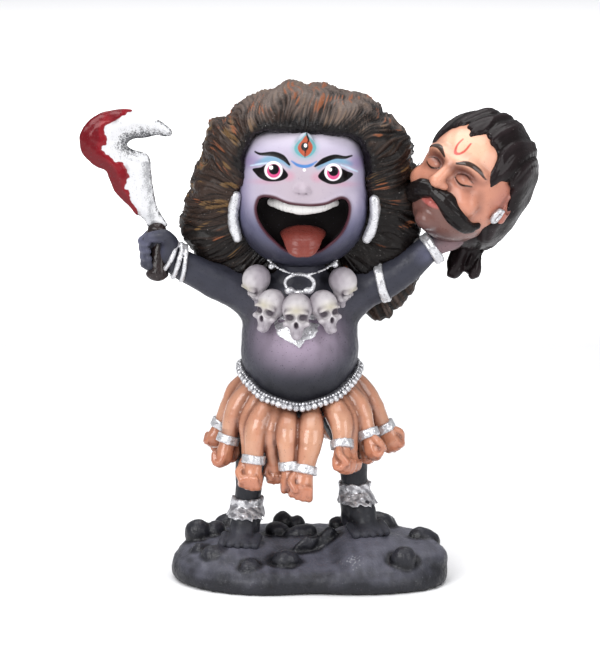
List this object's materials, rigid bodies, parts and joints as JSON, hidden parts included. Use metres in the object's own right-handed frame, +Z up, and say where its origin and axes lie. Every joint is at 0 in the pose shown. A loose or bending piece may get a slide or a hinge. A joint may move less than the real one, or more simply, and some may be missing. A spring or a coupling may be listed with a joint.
{
  "type": "kali figurine",
  "caption": "Hand-painted cast resin figurine of Kali with a big mane, standing on a rocky base, holding up a sickle sword and a severed head.",
  "frame": {"origin": "centre of the base's flat underside", "axes": "+Z up; the figure looks along -Y; +X runs towards the hand that holds the severed head"},
  "size_m": [0.1182, 0.048, 0.13],
  "materials": {
    "figure_resin": "hand-painted cast polyresin, slate blue-black skin, satin",
    "sword_silver": "silver-painted cast polyresin with dark red paint along the back",
    "head_resin": "hand-painted cast polyresin, tan skin and dark hair, satin"
  },
  "bodies": {
    "root": {"figure_with_base": "figure_resin", "sickle_sword": "sword_silver", "severed_head": "head_resin"}
  },
  "joints": []
}
